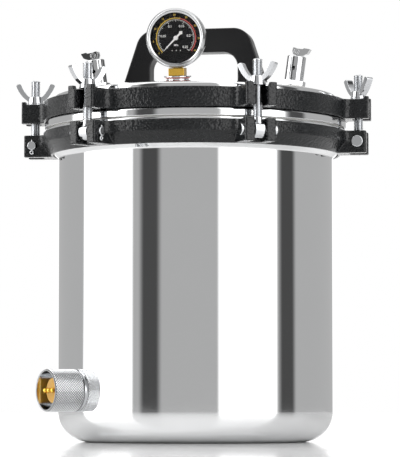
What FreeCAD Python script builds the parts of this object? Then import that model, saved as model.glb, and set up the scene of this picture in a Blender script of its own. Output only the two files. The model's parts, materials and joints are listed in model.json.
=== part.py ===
import FreeCAD, Part
import math
import os
from FreeCAD import Placement, Rotation, Vector

# Portable steam steriliser: a deep drawn pot, a domed lid and six swing bolts with wing nuts.
# Millimetres, +Z up. The origin is the centre of the pot's underside and the front faces -Y.
# Plan angles are measured from the front (-Y) towards +X.

# ---- driving dimensions: pot ----
pot_r = 142.0
pot_wall = 2.0
pot_base_round = 31.0
pot_neck_start_z = 292.4
pot_neck_z = 297.4
pot_neck_r = 147.7
pot_lip_r = 156.0
pot_lip_z = 319.0
pot_rim_z = 321.6

# ---- driving dimensions: lid ----
dome_radius = 770.0
dome_top_z = 370.8
lid_neck_r = 147.0
lid_wall = 2.0
lid_corner_round = 3.0
lid_corner_drop = (2.7, 0.75, 0.85)
lid_inner_corner = (0.8, 0.5, 0.4, 0.45)
lid_flange_z = 329.0
lid_rim_r = 156.6
lid_skirt_r = 154.4
lid_skirt_z = 322.5
gasket_inner_r = 146.2
gasket_outer_r = 154.0

# ---- driving dimensions: clamp rings ----
ring_outer_r = 158.0
lower_ring_inner_r = 147.8
lower_ring_z = (295.8, 307.4, 319.0)
lower_ring_foot_r = 149.8
upper_ring_inner_r = 147.3
upper_ring_z = (331.0, 350.9)
ring_edge_round = 2.0
lug_count = 6
lug_first_angle = 30.0
lug_half_width = 16.4
upper_lug_tip_r = 181.9
lower_lug_tip_r = 179.1
lug_root_round = 8.0
lug_corner_round = 2.0
lower_lug_z = (295.8, 318.6)
upper_lug_top_z = 351.1
slot_half_width = 6.5
lip_half_gap = 8.7
lip_start_r = 176.9
lip_top_z = 353.9
lip_round = 0.8

# ---- driving dimensions: swing bolts ----
bolt_circle_r = 170.0
pin_z = 307.6
pin_r = 4.5
pin_head_r = 6.0
pin_head_thick = 2.3
pin_tail = 3.7
split_pin_r = 0.75
split_pin_loop_r = 1.6
split_pin_bend = 0.85
split_pin_tail = 1.5
running_gap = 0.05
bolt_r = 5.0
bolt_tip_z = 377.4
bolt_tip_chamfer = 1.0
eye_r = 8.2
eye_width = 10.4
eye_clearance = 0.5
washer_r = 8.5
washer_hole_r = 5.3
washer_thick = 1.5
nut_hub_foot_r = 8.2
nut_hub_top_r = 6.8
nut_hub_height = 8.0
wing_half_thick = 3.7

# ---- driving dimensions: power inlet ----
inlet_angle = -49.3
inlet_z = 52.5
collar_r = 21.5
collar_bore_r = 19.25
collar_start = 142.6
collar_end = 176.0
collar_chamfer = 1.0
flange_r = 21.3
flange_end = 142.55
socket_r = 19.2
socket_end = 152.0
socket_neck_r = 14.0
socket_neck_start = 124.0
insulator_r = 12.8
insulator_span = (122.0, 168.5)
contact_r = 2.5
contact_pitch = 7.6
contact_span = (118.0, 174.5)
inlet_nut_flats = 36.0
inlet_nut_span = (128.0, 134.0)
inlet_seal_r = 17.5

# ---- driving dimensions: inside the pot ----
heater_ring_r = 96.0
heater_tube_r = 4.0
heater_leg_offset = 7.0
rack_r = 130.0
rack_z = (72.0, 73.5)
rack_hole_r = 6.0
rack_holes = ((1, 0.0), (6, 32.0), (12, 62.0), (18, 98.0))
rack_leg_r = 4.0
rack_leg_circle_r = 78.0
bucket_r = 125.0
bucket_wall = 1.2
bucket_top_z = 298.0
bucket_lip_span = (2.5, 1.5, 2.0)
bucket_holes = ((6, 40.0), (12, 85.0))
bail_z = 288.0
bail_ring_r = 114.0
bail_wire_r = 2.5
bail_end_gap = 0.8
bail_ear = (118.5, 8.0, 279.0, 296.0)
guide_bore_r = 7.0
guide_wall = 1.0
guide_z = (75.5, 268.0)
strap_half = 4.0
strap_height = 12.0
strap_low_z = 103.5
strap_reach = 20.0

# ---- driving dimensions: handle ----
handle_half_thick = 10.5
handle_foot_half = 77.5
handle_top_half = 56.0
handle_foot_z = 363.4
handle_top_z = 427.9
handle_gap_half = 46.4
handle_gap_top_z = 402.9
handle_gap_round = 16.0
handle_corner_round = 20.0
handle_edge_chamfer = 1.6
handle_screw_x = 60.0
handle_screw_r = 3.0
handle_screw_length = 22.0
handle_screw_span = (-6.0, 21.0)
handle_head_r = 5.7
handle_head_span = (-8.5, -4.6)
handle_washer_r = 7.8
handle_turn = -3.0

# ---- driving dimensions: pressure gauge ----
gauge_place_r = 105.0
gauge_turn = -0.8
gauge_axis_height = 41.5
gauge_bezel_r = 30.0
gauge_window_r = 25.2
gauge_case_r = 28.8
gauge_case_wall = 1.2
gauge_case_round = 3.0
gauge_back = -12.0
gauge_front = 10.5
bezel_round = 2.0
bezel_skirt = 4.0
bezel_lip = 1.5
dial_r = 27.0
dial_span = (3.4, 4.2)
glass_span = (7.2, 8.7)
spindle_r = 1.0
spindle_gap = 0.2
pointer_span = (5.4, 6.0)
pointer_length = 16.0
pointer_tail = 9.0
pointer_rest_angle = -135.0
pointer_half = (0.8, 1.3)
pointer_hub_r = 3.0
pointer_hub_span = (5.0, 6.6)
spindle_foot = -1.0
bourdon_coil = (18.0, 2.2, 250.0, -5.0)
movement_r = 7.0
movement_top = -1.5
stem_square = 16.0
stem_foot = 3.6
stem_thread_r = 5.0
stem_thread_span = (-12.0, 4.0)
riser_half = 4.5
riser_depth = (0.8, 7.0)
riser_foot = 9.0
riser_reach = 21.0
riser_gap = 0.1
gauge_foot_washer = (11.0, -1.0, 1.2)
gauge_foot_seal = (12.0, 1.2, 2.4)
gauge_top_washer = (13.7, 2.4, 3.6)
gauge_nut_foot = -7.5

# ---- driving dimensions: valves ----
relief_angle = 71.8
relief_place_r = 112.0
vent_angle = -76.5
vent_place_r = 100.5
relief_spin = 13.0
vent_spin = -22.5
valve_hex_flats = 22.2
valve_hex_span = (1.2, 6.2)
valve_barrel_r = 9.6
valve_top = 31.3
valve_top_round = 1.2
valve_chamber_r = 6.0
valve_chamber_span = (8.0, 22.0)
valve_port_r = 2.1
valve_port_height = 18.6
valve_thread_r = 5.5
valve_thread_foot = -13.0
valve_nut_flats = 17.0
valve_nut_foot = -8.0
valve_seal_r = 11.8
valve_seal_foot = -1.0
valve_inlet_top = 4.2
valve_stem_r = 2.5
valve_neck_start = 28.8
valve_neck_r = 1.8
valve_head_r = 5.6
valve_head_span = (8.1, 11.0)
lever_pivot_height = 35.4
lever_pin_r = 2.0
lever_cam_r = 4.85
lever_half_width = 4.8
lever_tongue_half = 2.0
lever_tongue_overlap = 0.5
lever_tongue_top = 3.0
lever_pin_end = 0.8
lever_cam_offset = (-1.0, 1.0)
lever_slot_end = 4.7
lever_length = 13.6
vent_tube_r = 4.0
vent_tube_bore_r = 3.0
vent_tube_foot_z = 66.0
vent_tube_drop = -12.0
vent_tube_reach = 4.0

EXTRA = 5.0     # how far a cutting shape runs past what it cuts


def cylinder(radius, z0, z1, x=0.0, y=0.0):
    return Part.makeCylinder(radius, z1 - z0, Vector(x, y, z0))


def tube(inner, outer, z0, z1):
    return cylinder(outer, z0, z1).cut(cylinder(inner, z0 - EXTRA, z1 + EXTRA))


def rod_x(radius, x0, x1, y=0.0, z=0.0):
    return Part.makeCylinder(radius, x1 - x0, Vector(x0, y, z), Vector(1, 0, 0))


def block(x0, x1, y0, y1, z0, z1):
    return Part.makeBox(x1 - x0, y1 - y0, z1 - z0, Vector(x0, y0, z0))


def hexagon(across_flats, z0, z1):
    corner_r = across_flats / math.sqrt(3.0)
    corners = []
    for i in range(6):
        a = math.radians(60.0 * i)
        corners.append(Vector(corner_r * math.cos(a), corner_r * math.sin(a), z0))
    return Part.Face(Part.makePolygon(corners + corners[:1])).extrude(Vector(0, 0, z1 - z0))


def outline(path):
    """Face in the XZ plane: two numbers are a straight run, four an arc through its first pair."""
    start = Vector(path[0][0], 0, path[0][1])
    here = start
    edges = []
    for step in path[1:]:
        end = Vector(step[-2], 0, step[-1])
        if len(step) == 4:
            edges.append(Part.Arc(here, Vector(step[0], 0, step[1]), end).toShape())
        else:
            edges.append(Part.LineSegment(here, end).toShape())
        here = end
    edges.append(Part.LineSegment(here, start).toShape())
    return Part.Face(Part.Wire(edges))


def turned(path):
    return outline(path).revolve(Vector(0, 0, 0), Vector(0, 0, 1), 360)


def plate(path, half_thick):
    face = outline(path)
    face.translate(Vector(0, -half_thick, 0))
    return face.extrude(Vector(0, 2.0 * half_thick, 0))


def turn(shape, angle):
    """The shape, turned in plan from the front by angle degrees."""
    copy = shape.copy()
    copy.rotate(Vector(0, 0, 0), Vector(0, 0, 1), angle)
    return copy


def arc_step(centre, radius, angle0, angle1):
    """An arc step of outline(), round centre from angle0 to angle1 in degrees from +X."""
    step = []
    for angle in ((angle0 + angle1) / 2.0, angle1):
        a = math.radians(angle)
        step += [centre[0] + radius * math.cos(a), centre[1] + radius * math.sin(a)]
    return tuple(step)


def placed(shape, place):
    copy = shape.copy()
    copy.Placement = place.multiply(copy.Placement)
    return copy


def joined(shapes):
    whole = shapes[0]
    for shape in shapes[1:]:
        whole = whole.fuse(shape)
    return whole.removeSplitter()


def dome_height(r):
    """Height of the lid's outer skin at plan radius r."""
    return dome_top_z - dome_radius + math.sqrt(dome_radius ** 2 - r ** 2)


def dome_frame(angle, r):
    """Placement on the dome, its Z along the dome's outward normal and its -Y leading outward."""
    tilt = math.degrees(math.asin(r / dome_radius))
    spin = Rotation(Vector(0, 0, 1), angle)
    lean = Rotation(Vector(1, 0, 0), tilt)
    spot = spin.multVec(Vector(0, -r, dome_height(r)))
    return Placement(spot, spin.multiply(lean))


def radial_frame(angle, z):
    """Placement at the pot's axis with Z leading outward, X level and Y up."""
    spin = Rotation(Vector(0, 0, 1), angle)
    lay = Rotation(Vector(1, 0, 0), 90)
    return Placement(Vector(0, 0, z), spin.multiply(lay))


def dome_ball(depth):
    """The ball whose surface lies depth below the lid's outer skin."""
    return Part.makeSphere(dome_radius - depth, Vector(0, 0, dome_top_z - dome_radius))


OVER_LID = dome_ball(0.0)
UNDER_LID = dome_ball(lid_wall)
LUG_ANGLES = [lug_first_angle + 360.0 / lug_count * i for i in range(lug_count)]


# ---- pot ----
def pot_shell():
    outer_c = (pot_r - pot_base_round, pot_base_round)
    inner_round = pot_base_round - pot_wall
    inner_neck_r = pot_neck_r - pot_wall
    path = [
        (0, 0),
        (outer_c[0], 0),
        arc_step(outer_c, pot_base_round, -90, 0),
        (pot_r, pot_neck_start_z),
        (pot_neck_r, pot_neck_z),
        (pot_neck_r, pot_lip_z),
        (pot_lip_r, pot_lip_z),
        (pot_lip_r, pot_rim_z),
        (inner_neck_r, pot_rim_z),
        (inner_neck_r, pot_neck_z + pot_wall / 2),
        (pot_r - pot_wall, pot_neck_start_z + pot_wall / 2),
        (pot_r - pot_wall, pot_base_round),
        arc_step(outer_c, inner_round, 0, -90),
        (0, pot_wall),
    ]
    shell = turned(path)
    hole = cylinder(socket_neck_r + running_gap, pot_r - 4 * EXTRA, pot_r + EXTRA)
    return shell.cut(placed(hole, radial_frame(inlet_angle, inlet_z)))


def is_upright(edge):
    a = edge.Vertexes[0].Point
    b = edge.Vertexes[-1].Point
    return math.hypot(a.x - b.x, a.y - b.y) < 0.01 and abs(a.z - b.z) > 1.0


def plan_r(edge):
    spot = edge.Vertexes[0].Point
    return math.hypot(spot.x, spot.y)


def ring_slab(tip_r, z0, z1):
    """A disc with six lugs, rounded in plan where they leave it and at their corners."""
    slab = cylinder(ring_outer_r, z0, z1)
    for angle in LUG_ANGLES:
        lug = block(-lug_half_width, lug_half_width, -tip_r, -lower_ring_inner_r, z0, z1)
        slab = slab.fuse(turn(lug, angle))
    slab = slab.removeSplitter()
    roots = [e for e in slab.Edges
             if is_upright(e) and abs(plan_r(e) - ring_outer_r) < 0.01]
    slab = slab.makeFillet(lug_root_round, roots)
    corner_r = math.hypot(lug_half_width, tip_r)
    corners = [e for e in slab.Edges if is_upright(e) and abs(plan_r(e) - corner_r) < 0.01]
    return slab.makeFillet(lug_corner_round, corners)


def each_lug(shape):
    return [turn(shape, angle) for angle in LUG_ANGLES]


def lower_clamp_ring():
    foot_z, band_z, top_z = lower_ring_z
    tip_r = lower_lug_tip_r
    band = ring_slab(tip_r, band_z, lower_lug_z[1])
    edge = turned([
        (lower_ring_inner_r - EXTRA, foot_z),
        (lower_ring_foot_r, foot_z),
        (ring_outer_r, band_z),
        (ring_outer_r, top_z),
        (lower_ring_inner_r - EXTRA, top_z),
    ])
    lug = block(-lug_half_width, lug_half_width, -tip_r, -lower_ring_inner_r, lower_lug_z[0], band_z)
    corners = [e for e in lug.Edges if is_upright(e) and e.Vertexes[0].Y < -ring_outer_r]
    lug = lug.makeFillet(lug_corner_round, corners)
    body = joined([band, edge] + each_lug(lug))
    body = body.cut(cylinder(lower_ring_inner_r, foot_z - EXTRA, top_z + EXTRA))
    slot = block(-slot_half_width, slot_half_width, -tip_r - EXTRA,
                 -bolt_circle_r + eye_r + eye_clearance, foot_z - EXTRA, top_z + EXTRA)
    bore = rod_x(pin_r, -lug_half_width - EXTRA, lug_half_width + EXTRA, -bolt_circle_r, pin_z)
    for cutter in each_lug(slot) + each_lug(bore):
        body = body.cut(cutter)
    return body


def upper_clamp_ring():
    foot_z, top_z = upper_ring_z
    tip_r = upper_lug_tip_r
    band = ring_slab(tip_r, foot_z, upper_lug_top_z)
    inner = upper_ring_inner_r - EXTRA
    round_c = (ring_outer_r - ring_edge_round, top_z - ring_edge_round)
    edge = turned([
        (inner, foot_z),
        (ring_outer_r, foot_z),
        (ring_outer_r, round_c[1]),
        arc_step(round_c, ring_edge_round, 0, 90),
        (inner, top_z),
    ])
    lip_y = (-tip_r, -lip_start_r)
    lips = []
    for side in (-1, 1):
        x = sorted((side * lip_half_gap, side * lug_half_width))
        lip = block(x[0], x[1], lip_y[0], lip_y[1], upper_lug_top_z - EXTRA, lip_top_z)
        uprights = [e for e in lip.Edges if is_upright(e) and e.Vertexes[0].Y < -lip_start_r - 1
                    and abs(e.Vertexes[0].X) > lip_half_gap + 1]
        lip = lip.makeFillet(lug_corner_round, uprights)
        tops = [e for e in lip.Edges if min(v.Z for v in e.Vertexes) > lip_top_z - 0.01]
        lips.append(lip.makeFillet(lip_round, tops))
    body = joined([band, edge] + each_lug(lips[0]) + each_lug(lips[1]))
    body = body.cut(cylinder(upper_ring_inner_r, foot_z - EXTRA, top_z + EXTRA))
    slot = block(-slot_half_width, slot_half_width, -tip_r - EXTRA, -bolt_circle_r,
                 foot_z - EXTRA, lip_top_z + EXTRA)
    slot = slot.fuse(cylinder(slot_half_width, foot_z - EXTRA, lip_top_z + EXTRA, 0, -bolt_circle_r))
    # The seat falls away on a circle round the hinge pin, so that a tight washer can swing out.
    seat_r = upper_lug_top_z - pin_z - running_gap
    crown = block(-lip_half_gap, lip_half_gap, -tip_r - EXTRA, -bolt_circle_r,
                  upper_lug_top_z - 2 * EXTRA, lip_top_z + EXTRA)
    crown = crown.cut(rod_x(seat_r, -lug_half_width, lug_half_width, -bolt_circle_r, pin_z))
    for cutter in each_lug(slot) + each_lug(crown):
        body = body.cut(cutter)
    return body


# ---- swing bolts ----
def swing_bolt():
    path = [
        (0, pin_z),
        (bolt_r, pin_z),
        (bolt_r, bolt_tip_z - bolt_tip_chamfer),
        (bolt_r - bolt_tip_chamfer, bolt_tip_z),
        (0, bolt_tip_z),
    ]
    shank = turned(path)
    shank.translate(Vector(0, -bolt_circle_r, 0))
    eye = rod_x(eye_r, -eye_width / 2, eye_width / 2, -bolt_circle_r, pin_z)
    bore = rod_x(pin_r + running_gap, -eye_width, eye_width, -bolt_circle_r, pin_z)
    return joined([shank, eye]).cut(bore)


def clamp_washer():
    ring = tube(washer_hole_r, washer_r, upper_lug_top_z, upper_lug_top_z + washer_thick)
    ring.translate(Vector(0, -bolt_circle_r, 0))
    return ring


def wing_nut(spin):
    """Rounded wings on a tapered hub, turned by spin degrees about its own axis."""
    hub = turned([
        (0, 0),
        (nut_hub_foot_r, 0),
        (nut_hub_top_r, nut_hub_height),
        (0, nut_hub_height),
    ])
    wing = plate([
        (6.0, 2.8),
        (8.2, 3.2),
        (15.0, 9.6, 19.8, 17.2),
        (20.6, 19.4, 18.5, 20.4),
        (16.7, 21.2, 15.5, 20.2),
        (12.2, 13.4, 7.2, 7.9),
        (6.0, 7.9),
    ], wing_half_thick)
    nut = joined([hub, wing, turn(wing, 180)])
    nut = nut.cut(cylinder(bolt_r + running_gap, -EXTRA, 2 * nut_hub_height))
    nut = turn(nut, spin)
    nut.translate(Vector(0, -bolt_circle_r, upper_lug_top_z + washer_thick))
    return nut


def hinge_pin():
    shank = rod_x(pin_r, -lug_half_width, lug_half_width + pin_tail, -bolt_circle_r, pin_z)
    head = rod_x(pin_head_r, -lug_half_width - pin_head_thick, -lug_half_width, -bolt_circle_r, pin_z)
    hole_x = lug_half_width + pin_tail / 2
    hole = cylinder(split_pin_r, pin_z - 2 * pin_r, pin_z + 2 * pin_r, hole_x, -bolt_circle_r)
    return joined([shank, head]).cut(hole)


def split_pin():
    hole_x = lug_half_width + pin_tail / 2
    loop_top = pin_z - pin_r - split_pin_bend
    wire = cylinder(split_pin_r, loop_top, pin_z + pin_r + split_pin_tail, hole_x, -bolt_circle_r)
    loop_z = loop_top - split_pin_loop_r
    loop = Part.makeTorus(split_pin_loop_r, split_pin_r, Vector(hole_x, -bolt_circle_r, loop_z),
                          Vector(1, 0, 0))
    return joined([wire, loop])


# ---- power inlet, built along its own axis with distances from the pot's axis ----
def inlet_place(shape):
    return placed(shape, radial_frame(inlet_angle, inlet_z))


def inlet_housing():
    cup = cylinder(socket_r, pot_r - EXTRA, socket_end).fuse(cylinder(flange_r, pot_r - EXTRA, flange_end))
    cup = inlet_place(cup).cut(cylinder(pot_r, 0, 2 * inlet_z))
    neck = cylinder(socket_neck_r, socket_neck_start, socket_end)
    body = joined([cup, inlet_place(neck)])
    bore = cylinder(insulator_r, socket_neck_start - EXTRA, socket_end + EXTRA)
    return body.cut(inlet_place(bore))


def inlet_insulator():
    body = cylinder(insulator_r, *insulator_span)
    for k in (-1, 0, 1):
        body = body.cut(cylinder(contact_r, insulator_span[0] - EXTRA, insulator_span[1] + EXTRA,
                                 k * contact_pitch))
    return inlet_place(body)


def inlet_contacts():
    pins = []
    for k in (-1, 0, 1):
        pin = cylinder(contact_r, contact_span[0], contact_span[1] - contact_r, k * contact_pitch)
        tip = Part.makeSphere(contact_r, Vector(k * contact_pitch, 0, contact_span[1] - contact_r))
        pins.append(inlet_place(joined([pin, tip])))
    return Part.makeCompound(pins)


def inlet_lock_nut():
    nut = hexagon(inlet_nut_flats, *inlet_nut_span)
    return inlet_place(nut.cut(cylinder(socket_neck_r, inlet_nut_span[0] - EXTRA, pot_r)))


def inlet_seal():
    pad = tube(socket_neck_r, inlet_seal_r, inlet_nut_span[1], pot_r)
    return inlet_place(pad).common(cylinder(pot_r - pot_wall, 0, 2 * inlet_z))


def knurled_collar():
    sleeve = turned([
        (collar_bore_r, collar_start),
        (collar_r - collar_chamfer, collar_start),
        (collar_r, collar_start + collar_chamfer),
        (collar_r, collar_end - collar_chamfer),
        (collar_r - collar_chamfer, collar_end),
        (collar_bore_r, collar_end),
    ])
    return inlet_place(sleeve)


# ---- inside the pot ----
def heater_element():
    gap = math.degrees(math.asin(heater_leg_offset / heater_ring_r))
    ring = Part.makeTorus(heater_ring_r, heater_tube_r, Vector(0, 0, 0), Vector(0, 0, 1),
                          0, 360, 360 - 2 * gap)
    ring = turn(ring, gap - 90)
    leg_start = math.sqrt(heater_ring_r ** 2 - heater_leg_offset ** 2)
    pieces = [ring]
    for side in (-1, 1):
        x = side * heater_leg_offset
        leg = Part.makeCylinder(heater_tube_r, contact_span[0] - leg_start, Vector(x, -leg_start, 0),
                                Vector(0, -1, 0))
        pieces += [leg, Part.makeSphere(heater_tube_r, Vector(x, -leg_start, 0))]
    coil = joined(pieces)
    coil.translate(Vector(0, 0, inlet_z))
    return turn(coil, inlet_angle)


def tube_spot():
    """Centre of the vent tube in plan, below the vent valve's nut."""
    return dome_frame(vent_angle, vent_place_r).multVec(Vector(0, 0, vent_tube_drop))


def steam_rack():
    disc = cylinder(rack_r, *rack_z)
    for count, circle_r in rack_holes:
        for i in range(count):
            a = math.radians(360.0 * (i + 0.5) / count)
            disc = disc.cut(cylinder(rack_hole_r, rack_z[0] - EXTRA, rack_z[1] + EXTRA,
                                     circle_r * math.cos(a), circle_r * math.sin(a)))
    spot = tube_spot()
    disc = disc.cut(cylinder(guide_bore_r, rack_z[0] - EXTRA, rack_z[1] + EXTRA, spot.x, spot.y))
    pieces = [disc]
    for i in range(3):
        leg = cylinder(rack_leg_r, pot_wall, rack_z[0], 0, -rack_leg_circle_r)
        pieces.append(turn(leg, 120.0 * i + 60.0))
    return joined(pieces)


def inner_bucket():
    inner_r = bucket_r - bucket_wall
    floor = rack_z[1]
    body = cylinder(bucket_r, floor, bucket_top_z)
    body = body.cut(cylinder(inner_r, floor + bucket_wall, bucket_top_z + EXTRA))
    lip_in, lip_out, lip_drop = bucket_lip_span
    lip = tube(bucket_r - lip_in, bucket_r + lip_out, bucket_top_z - lip_drop, bucket_top_z)
    lip = lip.cut(cylinder(inner_r, bucket_top_z - EXTRA, bucket_top_z + EXTRA))
    x0, half, z0, z1 = bail_ear
    pieces = [body, lip]
    for side in (0, 180):
        ear = block(x0, bucket_r - bucket_wall / 2, -half, half, z0, z1)
        ear = ear.cut(rod_x(bail_wire_r + running_gap, x0 - EXTRA, inner_r - bail_end_gap / 2, 0, bail_z))
        pieces.append(turn(ear, side))
    body = joined(pieces)
    spot = tube_spot()
    body = body.cut(cylinder(guide_bore_r, floor - EXTRA, floor + EXTRA, spot.x, spot.y))
    for count, circle_r in bucket_holes:
        for i in range(count):
            a = math.radians(360.0 * i / count)
            body = body.cut(cylinder(rack_hole_r / 2, floor - EXTRA, floor + EXTRA,
                                     circle_r * math.cos(a), circle_r * math.sin(a)))
    return body


def vent_guide():
    spot = tube_spot()
    sleeve = tube(guide_bore_r, guide_bore_r + guide_wall, *guide_z)
    sleeve.translate(Vector(spot.x, spot.y, 0))
    strap = block(-strap_half, strap_half, guide_bore_r + guide_wall / 2, strap_reach,
                  guide_z[1] - strap_height, guide_z[1])
    straps = [strap]
    low = strap.copy()
    low.translate(Vector(0, 0, strap_low_z + strap_height - guide_z[1]))
    straps.append(low)
    outward = math.degrees(math.atan2(spot.y, spot.x)) - 90.0
    pieces = [sleeve]
    for bar in straps:
        bar = turn(bar, outward)
        bar.translate(Vector(spot.x, spot.y, 0))
        pieces.append(bar.common(cylinder(bucket_r - bucket_wall, 0, bucket_top_z)))
    return joined(pieces)


def bucket_handle():
    bow = Part.makeTorus(bail_ring_r, bail_wire_r, Vector(0, 0, bail_z), Vector(0, 0, 1), 0, 360, 180)
    pieces = [bow]
    reach = bucket_r - bucket_wall - bail_end_gap
    for x0, x1 in ((bail_ring_r - bail_wire_r, reach), (-reach, -bail_ring_r + bail_wire_r)):
        pieces.append(rod_x(bail_wire_r, x0, x1, 0, bail_z))
    return joined(pieces)


# ---- lid ----
def lid_shell():
    centre_z = dome_top_z - dome_radius
    drop, bulge_in, bulge_down = lid_corner_drop
    inner_in, inner_drop, inner_bulge_in, inner_bulge_down = lid_inner_corner
    neck_top = dome_height(lid_neck_r) - drop
    shoulder_r = lid_neck_r - lid_corner_round
    shoulder_z = dome_height(shoulder_r)
    inner_dome = dome_radius - lid_wall
    inner_neck = lid_neck_r - lid_wall
    inner_shoulder = shoulder_r - inner_in
    inner_shoulder_z = centre_z + math.sqrt(inner_dome ** 2 - inner_shoulder ** 2)
    mid = shoulder_r / 2
    inner_mid = inner_shoulder / 2
    turn_r = lid_wall
    top_z = lid_flange_z + lid_wall
    path = [
        (0, dome_top_z),
        (mid, dome_height(mid), shoulder_r, shoulder_z),
        (lid_neck_r - bulge_in, shoulder_z - bulge_down, lid_neck_r, neck_top),
        (lid_neck_r, top_z),
        (lid_rim_r - turn_r, top_z),
        arc_step((lid_rim_r - turn_r, top_z - turn_r), turn_r, 90, 0),
        (lid_rim_r, lid_skirt_z),
        (lid_skirt_r, lid_skirt_z),
        (lid_skirt_r, lid_flange_z),
        (inner_neck, lid_flange_z),
        (inner_neck, neck_top - inner_drop),
        (inner_neck - inner_bulge_in, inner_shoulder_z - inner_bulge_down, inner_shoulder,
         inner_shoulder_z),
        (inner_mid, centre_z + math.sqrt(inner_dome ** 2 - inner_mid ** 2), 0, dome_top_z - lid_wall),
    ]
    shell = turned(path)
    holes = [(dome_frame(gauge_turn, gauge_place_r), stem_thread_r)]
    for angle, r in ((relief_angle, relief_place_r), (vent_angle, vent_place_r)):
        holes.append((dome_frame(angle, r), valve_thread_r))
    for side in (-90, 90):
        holes.append((dome_frame(side + handle_turn, handle_screw_x), handle_screw_r))
    for place, radius in holes:
        shell = shell.cut(placed(cylinder(radius, -4 * EXTRA, 4 * EXTRA), place))
    return shell


def lid_gasket():
    return tube(gasket_inner_r, gasket_outer_r, pot_rim_z, lid_flange_z)


def carry_handle():
    foot, top = handle_foot_half, handle_top_half
    rise = handle_top_z - handle_foot_z
    lean = math.atan2(foot - top, rise)
    # The outer corner is an arc tangent to the sloping side and the flat top.
    tangent = handle_corner_round * math.tan((math.pi / 2 - lean) / 2)
    side_in = (math.sin(lean) * tangent, math.cos(lean) * tangent)
    corner_c = (top - tangent, handle_top_z - handle_corner_round)
    side = (top + side_in[0], handle_top_z - side_in[1])
    mid_a = (math.radians(90) + math.atan2(side[1] - corner_c[1], side[0] - corner_c[0])) / 2
    bulge = (corner_c[0] + handle_corner_round * math.cos(mid_a),
             corner_c[1] + handle_corner_round * math.sin(mid_a))
    gap_c = (handle_gap_half - handle_gap_round, handle_gap_top_z - handle_gap_round)
    right = [
        (foot, handle_foot_z),
        side,
        (bulge[0], bulge[1], top - tangent, handle_top_z),
    ]
    left = [
        (-(top - tangent), handle_top_z),
        (-bulge[0], bulge[1], -side[0], side[1]),
        (-foot, handle_foot_z),
        (-handle_gap_half, handle_foot_z),
        (-handle_gap_half, gap_c[1]),
        arc_step((-gap_c[0], gap_c[1]), handle_gap_round, 180, 90),
        (gap_c[0], handle_gap_top_z),
        arc_step(gap_c, handle_gap_round, 90, 0),
        (handle_gap_half, handle_foot_z),
    ]
    bow = plate(right + left, handle_half_thick)
    rims = []
    for edge in bow.Edges:
        ys = [v.Y for v in edge.Vertexes]
        if max(ys) - min(ys) < 0.01 and min(v.Z for v in edge.Vertexes) > handle_foot_z - 0.01:
            if max(v.Z for v in edge.Vertexes) > handle_foot_z + 1:
                rims.append(edge)
    bow = bow.makeChamfer(handle_edge_chamfer, rims)
    bow = turn(bow, handle_turn).cut(OVER_LID)
    for side in (-90, 90):
        bow = bow.cut(placed(cylinder(handle_screw_r, -EXTRA, handle_screw_length),
                             dome_frame(side + handle_turn, handle_screw_x)))
    return bow


def handle_screws():
    screws = []
    for side in (-90, 90):
        shank = cylinder(handle_screw_r, *handle_screw_span)
        head = cylinder(handle_head_r, *handle_head_span)
        screws.append(placed(joined([shank, head]), dome_frame(side + handle_turn, handle_screw_x)))
    return Part.makeCompound(screws)


def handle_washers():
    rings = []
    for side in (-90, 90):
        ring = tube(handle_screw_r, handle_washer_r, handle_head_span[1], 0.0)
        ring = placed(ring, dome_frame(side + handle_turn, handle_screw_x))
        rings.append(ring.common(UNDER_LID))
    return Part.makeCompound(rings)


# ---- pressure gauge, built facing +Z with +Y up ----
def gauge_place(shape):
    lift = Placement(Vector(0, 0, gauge_axis_height), Rotation(Vector(1, 0, 0), 90))
    return placed(shape, dome_frame(gauge_turn, gauge_place_r).multiply(lift))


def gauge_case():
    inner_r = gauge_case_r - gauge_case_round
    shell = turned([
        (0, gauge_back),
        (inner_r, gauge_back),
        arc_step((inner_r, gauge_back + gauge_case_round), gauge_case_round, -90, 0),
        (gauge_case_r, glass_span[0]),
        (gauge_case_r - gauge_case_wall, glass_span[0]),
        (gauge_case_r - gauge_case_wall, gauge_back + gauge_case_round),
        (inner_r, gauge_back + gauge_case_wall),
        (0, gauge_back + gauge_case_wall),
    ])
    half = riser_half + riser_gap
    near, far = riser_depth
    notch = block(-half, half, -gauge_case_r - EXTRA, -riser_reach, -far - riser_gap, -near + riser_gap)
    return gauge_place(shell.cut(notch))


def gauge_bezel():
    round_c = (gauge_bezel_r - bezel_round, gauge_front - bezel_round)
    skirt = dial_span[0] - bezel_skirt
    return gauge_place(turned([
        (gauge_case_r, skirt),
        (gauge_bezel_r, skirt),
        (gauge_bezel_r, round_c[1]),
        arc_step(round_c, bezel_round, 0, 90),
        (gauge_window_r + bezel_lip, gauge_front),
        (gauge_window_r, glass_span[1]),
        (dial_r, glass_span[1]),
        (dial_r, glass_span[0]),
        (gauge_case_r, glass_span[0]),
    ]))


def gauge_glass():
    return gauge_place(cylinder(dial_r, *glass_span))


def gauge_dial():
    disc = cylinder(dial_r, *dial_span).cut(cylinder(spindle_r + spindle_gap, 0, gauge_front))
    return gauge_place(disc)


def gauge_pointer():
    waist, tail = pointer_half
    blade = [
        (0.0, pointer_length),
        (-waist, 0.0),
        (-tail, -pointer_tail),
        (tail, -pointer_tail),
        (waist, 0.0),
    ]
    corners = [Vector(x, y, pointer_span[0]) for x, y in blade]
    needle = Part.Face(Part.makePolygon(corners + corners[:1]))
    needle = needle.extrude(Vector(0, 0, pointer_span[1] - pointer_span[0]))
    hub = cylinder(pointer_hub_r, *pointer_hub_span)
    spindle = cylinder(spindle_r, spindle_foot, pointer_span[1])
    return gauge_place(turn(joined([needle, hub, spindle]), -pointer_rest_angle))


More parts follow.
